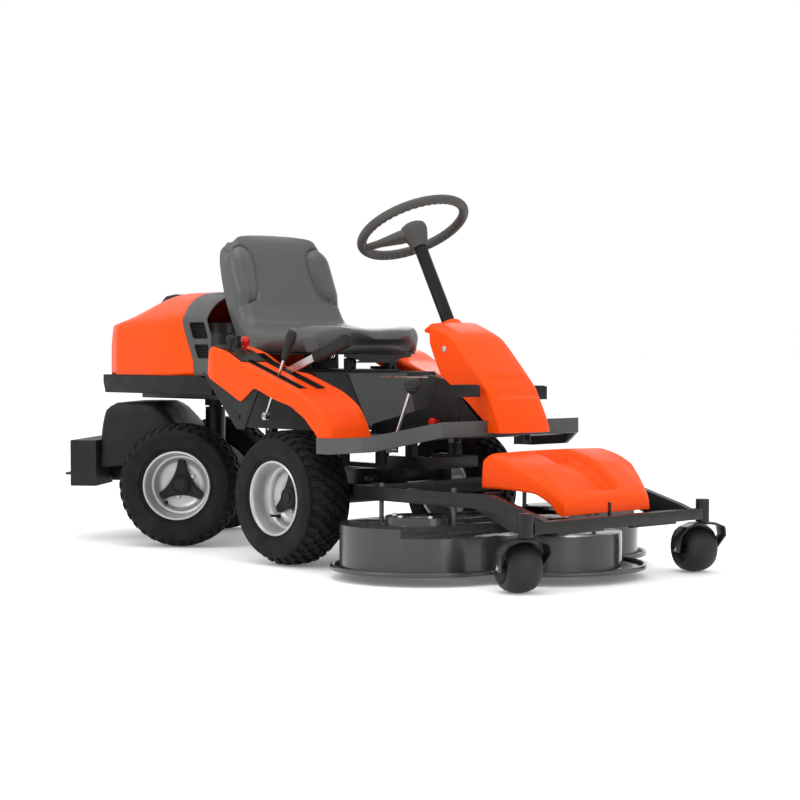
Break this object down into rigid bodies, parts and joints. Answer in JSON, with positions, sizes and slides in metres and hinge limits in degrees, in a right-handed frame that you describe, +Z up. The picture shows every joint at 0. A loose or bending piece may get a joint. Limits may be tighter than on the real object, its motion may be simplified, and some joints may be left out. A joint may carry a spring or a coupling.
{
  "type": "riding lawn mower",
  "caption": "Ride-on mower with an articulated rear carriage, a front-mounted three-blade deck on caster wheels, a bucket seat and a hood over the engine.",
  "frame": {"origin": "on the ground under the middle of the object's box, as posed with the rear carriage turned 40 degrees to the left", "axes": "+X forward along the machine's length, +Y to the driver's left, +Z up"},
  "size_m": [2.3714, 1.1038, 1.1137],
  "materials": {
    "orange_shell": "moulded plastic, satin gloss",
    "dark_plastic": "fine grained moulded plastic",
    "black_plastic": "fine grained moulded plastic",
    "frame_paint": "powder coat",
    "deck_paint": "glossy powder coat",
    "bare_steel": "zinc plated",
    "rim_paint": "silver paint",
    "tyre_rubber": "tread rubber",
    "hard_rubber": "moulded rubber",
    "seat_vinyl": "grained vinyl",
    "engine_metal": "cast and machined",
    "red_plastic": "moulded plastic",
    "grey_plastic": "moulded grip"
  },
  "bodies": {
    "chassis": {"main_frame": "frame_paint", "front_axle": "frame_paint", "platform": "dark_plastic", "tunnel": "black_plastic", "seat_pedestal": "dark_plastic", "right_fender": "orange_shell", "left_fender": "orange_shell", "fender_lower_covers": "dark_plastic", "control_panel": "black_plastic", "column_cover": "orange_shell", "steering_column": "black_plastic", "engine": "engine_metal", "battery": "black_plastic", "fuel_tank": "black_plastic", "hood_tray": "black_plastic", "chassis_fasteners": "bare_steel"},
    "hood": {"hood_shell": "orange_shell", "hood_grille": "dark_plastic", "hood_handle": "dark_plastic"},
    "steering": {"steering_wheel": "dark_plastic"},
    "seat_slide": {"seat_bracket": "frame_paint"},
    "seat": {"seat_pan": "frame_paint", "seat_cushion": "seat_vinyl"},
    "rear_carriage": {"rear_frame": "frame_paint", "rear_transaxle": "engine_metal", "rear_cover": "dark_plastic", "rear_bumper": "dark_plastic"},
    "arms": {"equipment_frame": "frame_paint", "front_cover": "orange_shell"},
    "deck": {"deck_shell": "deck_paint", "deck_belt": "hard_rubber"},
    "blade_right_body": {"blade_right": "bare_steel"},
    "blade_middle_body": {"blade_middle": "bare_steel"},
    "blade_left_body": {"blade_left": "bare_steel"},
    "fork_right": {"caster_fork_right": "frame_paint"},
    "fork_left": {"caster_fork_left": "frame_paint"},
    "roller_right": {"caster_wheel_right": "hard_rubber"},
    "roller_left": {"caster_wheel_left": "hard_rubber"},
    "wheel_front_right": {"tyre_front_right": "tyre_rubber", "rim_front_right": "rim_paint", "cap_front_right": "black_plastic"},
    "wheel_front_left": {"tyre_front_left": "tyre_rubber", "rim_front_left": "rim_paint", "cap_front_left": "black_plastic"},
    "wheel_rear_right": {"tyre_rear_right": "tyre_rubber", "rim_rear_right": "rim_paint", "cap_rear_right": "black_plastic"},
    "wheel_rear_left": {"tyre_rear_left": "tyre_rubber", "rim_rear_left": "rim_paint", "cap_rear_left": "black_plastic"},
    "forward_pedal_body": {"forward_pedal": "hard_rubber"},
    "reverse_pedal_body": {"reverse_pedal": "hard_rubber"},
    "brake_pedal_body": {"brake_pedal": "hard_rubber"},
    "lift_lever_body": {"lift_lever": "bare_steel"},
    "height_lever_body": {"height_lever": "bare_steel"},
    "throttle_lever_body": {"throttle_lever": "grey_plastic"},
    "choke_lever_body": {"choke_lever": "red_plastic"},
    "brake_button_body": {"brake_button": "red_plastic"},
    "ignition_switch_body": {"ignition_switch": "black_plastic"},
    "fuel_cap_body": {"fuel_cap": "black_plastic"}
  },
  "joints": [
    {"name": "rear_steer", "type": "hinge", "parent": "chassis", "child": "rear_carriage", "pos_m": [-0.688, 0, 0.47], "axis": [0, 0, 1], "range_deg": [-80, 0]},
    {"name": "steering_turn", "type": "hinge", "parent": "chassis", "child": "steering", "pos_m": [0.3094, 0, 1.02], "axis": [-0.4772, 0, 0.8788], "range_deg": [0, 720]},
    {"name": "front_wheel_right_spin", "type": "hinge", "parent": "chassis", "child": "wheel_front_right", "pos_m": [0.157, -0.3575, 0.203], "axis": [0, 1, 0], "continuous": true},
    {"name": "rear_wheel_right_spin", "type": "hinge", "parent": "rear_carriage", "child": "wheel_rear_right", "pos_m": [-0.52084, -0.26767, 0.203], "axis": [-0.6428, 0.766, 0], "continuous": true},
    {"name": "front_wheel_left_spin", "type": "hinge", "parent": "chassis", "child": "wheel_front_left", "pos_m": [0.157, 0.3575, 0.203], "axis": [0, 1, 0], "continuous": true},
    {"name": "rear_wheel_left_spin", "type": "hinge", "parent": "rear_carriage", "child": "wheel_rear_left", "pos_m": [-0.92258, 0.21111, 0.203], "axis": [-0.6428, 0.766, 0], "continuous": true},
    {"name": "seat_adjust", "type": "slide", "parent": "chassis", "child": "seat_slide", "axis": [1, 0, 0], "range_m": [-0.03, 0.03]},
    {"name": "seat_tilt", "type": "hinge", "parent": "seat_slide", "child": "seat", "pos_m": [0.112, 0, 0.606], "axis": [0, 1, 0], "range_deg": [0, 50]},
    {"name": "hood_tilt", "type": "hinge", "parent": "chassis", "child": "hood", "pos_m": [-0.965, 0, 0.56], "axis": [0, -1, 0], "range_deg": [0, 60]},
    {"name": "arms_lift", "type": "hinge", "parent": "chassis", "child": "arms", "pos_m": [0.217, 0, 0.222], "axis": [0, -1, 0], "range_deg": [0, 8]},
    {"name": "lift_lever_turn", "type": "hinge", "parent": "chassis", "child": "lift_lever_body", "pos_m": [-0.043, -0.3, 0.542], "axis": [0, -1, 0], "range_deg": [0, 56]},
    {"name": "deck_height", "type": "slide", "parent": "arms", "child": "deck", "axis": [0, 0, 1], "range_m": [-0.0168, 0.03]},
    {"name": "height_lever_turn", "type": "hinge", "parent": "chassis", "child": "height_lever_body", "pos_m": [0.052, -0.372, 0.445], "axis": [0, 1, 0], "range_deg": [-48.2, 27.2]},
    {"name": "blade_middle_spin", "type": "hinge", "parent": "deck", "child": "blade_middle_body", "pos_m": [0.877, 0, 0.12], "axis": [0, 0, 1], "continuous": true},
    {"name": "blade_right_spin", "type": "hinge", "parent": "deck", "child": "blade_right_body", "pos_m": [0.657, -0.29, 0.12], "axis": [0, 0, 1], "continuous": true},
    {"name": "blade_left_spin", "type": "hinge", "parent": "deck", "child": "blade_left_body", "pos_m": [0.657, 0.29, 0.12], "axis": [0, 0, 1], "continuous": true},
    {"name": "caster_right_swivel", "type": "hinge", "parent": "arms", "child": "fork_right", "pos_m": [1.14, -0.37, 0.18], "axis": [0, 0, 1], "continuous": true},
    {"name": "caster_right_roll", "type": "hinge", "parent": "fork_right", "child": "roller_right", "pos_m": [1.09397, -0.35046, 0.072], "axis": [0.3907, 0.9205, 0], "continuous": true},
    {"name": "caster_left_swivel", "type": "hinge", "parent": "arms", "child": "fork_left", "pos_m": [1.14, 0.37, 0.18], "axis": [0, 0, 1], "continuous": true},
    {"name": "caster_left_roll", "type": "hinge", "parent": "fork_left", "child": "roller_left", "pos_m": [1.09397, 0.38954, 0.072], "axis": [0.3907, 0.9205, 0], "continuous": true},
    {"name": "forward_pedal_press", "type": "hinge", "parent": "chassis", "child": "forward_pedal_body", "pos_m": [0.677, -0.18, 0.39034], "axis": [0, 1, 0], "range_deg": [0, 15], "stiffness_Nm_per_rad": 20, "springref_deg": -17.19},
    {"name": "reverse_pedal_press", "type": "hinge", "parent": "chassis", "child": "reverse_pedal_body", "pos_m": [0.542, -0.3, 0.36], "axis": [0, 1, 0], "range_deg": [0, 15], "stiffness_Nm_per_rad": 20, "springref_deg": -17.19},
    {"name": "brake_pedal_press", "type": "hinge", "parent": "chassis", "child": "brake_pedal_body", "pos_m": [0.612, 0.18, 0.3739], "axis": [0, 1, 0], "range_deg": [0, 15], "stiffness_Nm_per_rad": 20, "springref_deg": -17.19},
    {"name": "throttle_turn", "type": "hinge", "parent": "chassis", "child": "throttle_lever_body", "pos_m": [-0.088, -0.398, 0.608], "axis": [0, 1, 0], "range_deg": [-20, 20]},
    {"name": "choke_turn", "type": "hinge", "parent": "chassis", "child": "choke_lever_body", "pos_m": [-0.088, -0.34, 0.608], "axis": [0, 1, 0], "range_deg": [-20, 20]},
    {"name": "brake_lock_push", "type": "slide", "parent": "chassis", "child": "brake_button_body", "axis": [0, 1, 0], "range_m": [0, 0.008], "stiffness_N_per_m": 400, "springref_m": -0.005},
    {"name": "ignition_turn", "type": "hinge", "parent": "chassis", "child": "ignition_switch_body", "pos_m": [-0.135, -0.33, 0.65], "axis": [0, 0, 1], "range_deg": [0, 90]},
    {"name": "fuel_cap_turn", "type": "hinge", "parent": "chassis", "child": "fuel_cap_body", "pos_m": [-0.093, 0.34, 0.66], "axis": [0, 0, 1], "range_deg": [0, 90]}
  ],
  "couplings": [
    {"joint": "steering_turn", "follows": "rear_steer", "ratio": -9},
    {"joint": "lift_lever_turn", "follows": "arms_lift", "ratio": 6.875},
    {"joint": "height_lever_turn", "follows": "deck_height", "rad_per_m": -27.925},
    {"joint": "blade_right_spin", "follows": "blade_middle_spin", "ratio": 1},
    {"joint": "blade_left_spin", "follows": "blade_middle_spin", "ratio": 1}
  ]
}
